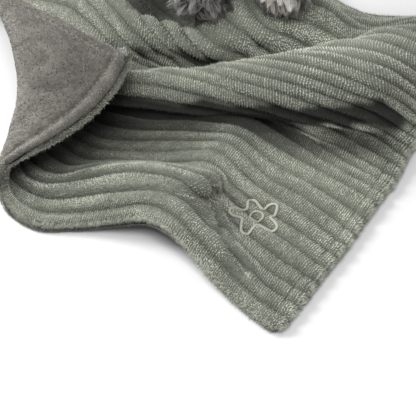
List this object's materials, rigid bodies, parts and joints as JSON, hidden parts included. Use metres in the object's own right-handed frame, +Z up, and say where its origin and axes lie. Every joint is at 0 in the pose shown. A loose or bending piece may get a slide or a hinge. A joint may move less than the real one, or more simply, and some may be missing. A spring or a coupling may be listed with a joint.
{
  "type": "lovey",
  "caption": "Square ribbed plush comfort blanket lying in folds, with a small stuffed rabbit sewn on near its back edge.",
  "frame": {"origin": "on the floor under the middle of the folded blanket's footprint", "axes": "+Z up; +Y away from the blanket's front corner, towards the back edge; +X to the right as the rabbit's face is seen, which looks along -Y"},
  "size_m": [0.2852, 0.4022, 0.1305],
  "materials": {
    "ribbed_plush": "short ribbed pile",
    "backing_velour": "smooth velour",
    "hem_thread": "matte thread",
    "blossom_thread": "embroidery thread",
    "long_pile_fur": "long soft pile",
    "stuffing_fibre": "polyester fibre",
    "dark_thread": "satin stitched thread"
  },
  "bodies": {
    "blanket": {"blanket_ribbed_face": "ribbed_plush", "blanket_backing": "backing_velour", "hem_stitch_front": "hem_thread", "hem_stitch_back": "hem_thread", "hem_stitch_left": "hem_thread", "hem_stitch_right": "hem_thread", "blossom_outline": "blossom_thread", "blossom_heart": "blossom_thread", "neck_gather_thread": "hem_thread"},
    "neck": {"neck_stalk": "stuffing_fibre"},
    "head": {"head_shell": "long_pile_fur", "head_stuffing": "stuffing_fibre", "muzzle": "long_pile_fur", "nose": "dark_thread", "mouth_stitch": "dark_thread", "head_back_seam": "hem_thread", "left_eye": "dark_thread", "right_eye": "dark_thread"},
    "left_ear": {"left_ear_outer": "long_pile_fur", "left_ear_lining": "ribbed_plush"},
    "right_ear": {"right_ear_outer": "long_pile_fur", "right_ear_lining": "ribbed_plush"},
    "left_arm": {"left_arm_shell": "long_pile_fur", "left_arm_stuffing": "stuffing_fibre"},
    "right_arm": {"right_arm_shell": "long_pile_fur", "right_arm_stuffing": "stuffing_fibre"}
  },
  "joints": [
    {"name": "neck_turn", "type": "hinge", "parent": "blanket", "child": "neck", "pos_m": [0.0285, 0.0289, 0.0634], "axis": [0, 0, 1], "range_deg": [-25, 25], "stiffness_Nm_per_rad": 0.1},
    {"name": "head_nod", "type": "hinge", "parent": "neck", "child": "head", "pos_m": [0.0285, 0.0289, 0.0634], "axis": [1, 0, 0], "range_deg": [-18, 2], "stiffness_Nm_per_rad": 0.2},
    {"name": "left_ear_lift", "type": "hinge", "parent": "head", "child": "left_ear", "pos_m": [0.0051, 0.035, 0.1254], "axis": [0, 1, 0], "range_deg": [0, 70]},
    {"name": "right_ear_lift", "type": "hinge", "parent": "head", "child": "right_ear", "pos_m": [0.0519, 0.035, 0.1254], "axis": [0, -1, 0], "range_deg": [0, 70]},
    {"name": "left_arm_swing", "type": "hinge", "parent": "blanket", "child": "left_arm", "pos_m": [0.0115, 0.0229, 0.057], "axis": [-0.331, 0.05, -0.9423], "range_deg": [0, 32]},
    {"name": "right_arm_swing", "type": "hinge", "parent": "blanket", "child": "right_arm", "pos_m": [0.0455, 0.0279, 0.057], "axis": [-0.331, -0.05, 0.9423], "range_deg": [0, 32]}
  ]
}
